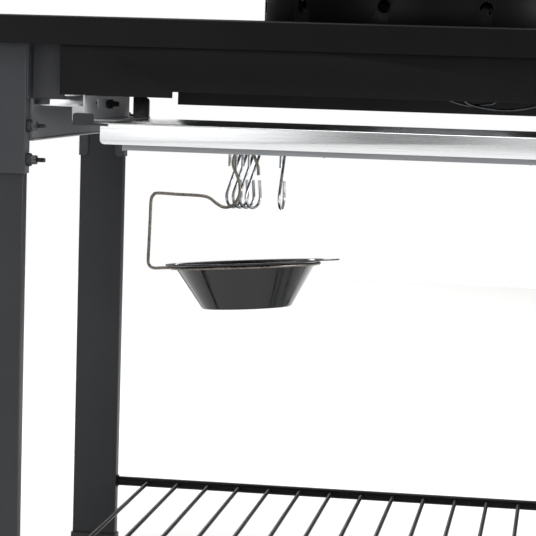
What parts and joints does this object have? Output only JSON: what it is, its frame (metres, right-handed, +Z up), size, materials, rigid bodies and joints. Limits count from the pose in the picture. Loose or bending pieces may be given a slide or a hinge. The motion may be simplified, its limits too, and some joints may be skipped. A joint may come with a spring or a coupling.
{
  "type": "kettle charcoal grill",
  "caption": "Round lidded charcoal kettle in a four-legged cart with a front shelf, tool hooks, a hanging drip bowl and two wheels.",
  "frame": {"origin": "centre of the footprint on the floor", "axes": "+X to the wheel side, seen from the front; +Y from the front shelf to the back; +Z up"},
  "size_m": [1.056, 0.639, 1.136],
  "materials": {
    "powder_coat": "fine textured dark grey powder coat",
    "leg_paint": "satin dark grey paint",
    "black_paint": "satin black paint",
    "black_plastic": "moulded black plastic",
    "rubber": "ribbed black rubber",
    "zinc_steel": "zinc plated steel",
    "brushed_stainless": "stainless steel brushed along its length",
    "chrome_wire": "polished chrome plating",
    "steel_wire": "drawn steel wire",
    "black_enamel": "glossy black porcelain enamel",
    "plain_steel": "sheet steel",
    "red_needle": "red paint"
  },
  "bodies": {
    "root": {"sleeve_front_left": "powder_coat", "sleeve_front_right": "powder_coat", "sleeve_rear_left": "powder_coat", "sleeve_rear_right": "powder_coat", "leg_front_left": "leg_paint", "leg_front_right": "leg_paint", "leg_rear_left": "leg_paint", "leg_rear_right": "leg_paint", "feet": "black_plastic", "axle": "zinc_steel", "side_rail_left": "powder_coat", "side_rail_right": "powder_coat", "front_apron": "black_paint", "rear_apron": "black_paint", "corner_gussets": "powder_coat", "table_top": "black_paint", "frame_bolts": "zinc_steel", "frame_spacers": "black_plastic", "frame_nuts": "zinc_steel", "lower_rack": "black_paint", "front_shelf": "brushed_stainless", "shelf_bracket_left": "powder_coat", "shelf_bracket_right": "powder_coat", "bracket_straps": "brushed_stainless", "shelf_tabs": "powder_coat", "shelf_hangers": "black_paint", "hook_rail": "zinc_steel", "hook_rod": "zinc_steel", "support_ring": "black_paint", "kettle_bowl": "black_enamel", "grate_rests": "plain_steel", "bowl_handles": "chrome_wire", "bowl_grips": "black_plastic", "ash_hangers": "plain_steel", "hinge_bracket": "black_paint", "hinge_pin": "zinc_steel"},
    "lid": {"lid": "black_enamel", "lid_handle": "chrome_wire", "lid_grip": "black_plastic", "thermometer_case": "chrome_wire"},
    "damper": {"lid_damper": "chrome_wire"},
    "needle": {"thermometer_needle": "red_needle"},
    "sweep": {"vent_sweep": "plain_steel", "sweep_lever": "plain_steel"},
    "ash_pan": {"ash_catcher": "plain_steel"},
    "coal_grate": {"charcoal_grate": "steel_wire"},
    "grate": {"cooking_grate": "steel_wire"},
    "flap_left": {"grate_flap_left": "steel_wire"},
    "flap_right": {"grate_flap_right": "steel_wire"},
    "hook_bunch": {"s_hook_1": "chrome_wire", "s_hook_2": "chrome_wire", "s_hook_3": "chrome_wire", "s_hook_4": "chrome_wire"},
    "single_hook": {"s_hook_5": "chrome_wire"},
    "holder": {"bowl_holder": "steel_wire"},
    "bowl": {"drip_bowl": "black_enamel"},
    "front_wheel": {"front_wheel_hub": "black_plastic", "front_wheel_tyre": "rubber"},
    "rear_wheel": {"rear_wheel_hub": "black_plastic", "rear_wheel_tyre": "rubber"}
  },
  "joints": [
    {"name": "lid_hinge", "type": "hinge", "parent": "root", "child": "lid", "pos_m": [0, 0.3115, 0.902], "axis": [-1, 0, 0], "range_deg": [0, 95]},
    {"name": "damper_turn", "type": "hinge", "parent": "lid", "child": "damper", "pos_m": [0.16432, -0.06662, 1.05599], "axis": [0.389, -0.1814, 0.9032], "range_deg": [0, 45]},
    {"name": "needle_turn", "type": "hinge", "parent": "lid", "child": "needle", "pos_m": [0, -0.22545, 1.02886], "axis": [0, 0.6143, -0.7891], "range_deg": [0, 240]},
    {"name": "sweep_turn", "type": "hinge", "parent": "root", "child": "sweep", "pos_m": [0, 0.01, 0.668], "axis": [0, 0, 1], "range_deg": [-18, 18]},
    {"name": "ash_pan_turn", "type": "hinge", "parent": "root", "child": "ash_pan", "pos_m": [0, 0.01, 0.64], "axis": [0, 0, 1], "range_deg": [0, 75]},
    {"name": "charcoal_grate_lift", "type": "slide", "parent": "root", "child": "coal_grate", "axis": [0, 0, 1], "range_m": [0, 0.06]},
    {"name": "grate_lift", "type": "slide", "parent": "root", "child": "grate", "axis": [0, 0, 1], "range_m": [0, 0.03]},
    {"name": "flap_left_hinge", "type": "hinge", "parent": "grate", "child": "flap_left", "pos_m": [-0.158, 0.01, 0.88], "axis": [0, 1, 0], "range_deg": [0, 80]},
    {"name": "flap_right_hinge", "type": "hinge", "parent": "grate", "child": "flap_right", "pos_m": [0.158, 0.01, 0.88], "axis": [0, -1, 0], "range_deg": [0, 80]},
    {"name": "hook_bunch_swing", "type": "hinge", "parent": "root", "child": "hook_bunch", "pos_m": [0, -0.222, 0.5664], "axis": [1, 0, 0], "range_deg": [0, 25]},
    {"name": "single_hook_swing", "type": "hinge", "parent": "root", "child": "single_hook", "pos_m": [0, -0.222, 0.5664], "axis": [1, 0, 0], "range_deg": [-20, 25]},
    {"name": "holder_swing", "type": "hinge", "parent": "root", "child": "holder", "pos_m": [-0.1885, -0.2355, 0.566], "axis": [0, 1, 0], "range_deg": [-6, 6]},
    {"name": "drip_bowl_lift", "type": "slide", "parent": "holder", "child": "bowl", "axis": [-0.0731, 0.0593, 0.9956], "range_m": [0, 0.045]},
    {"name": "front_wheel_spin", "type": "hinge", "parent": "root", "child": "front_wheel", "pos_m": [0.45, -0.281, 0.075], "axis": [0, 1, 0], "continuous": true},
    {"name": "rear_wheel_spin", "type": "hinge", "parent": "root", "child": "rear_wheel", "pos_m": [0.45, 0.281, 0.075], "axis": [0, 1, 0], "continuous": true}
  ]
}
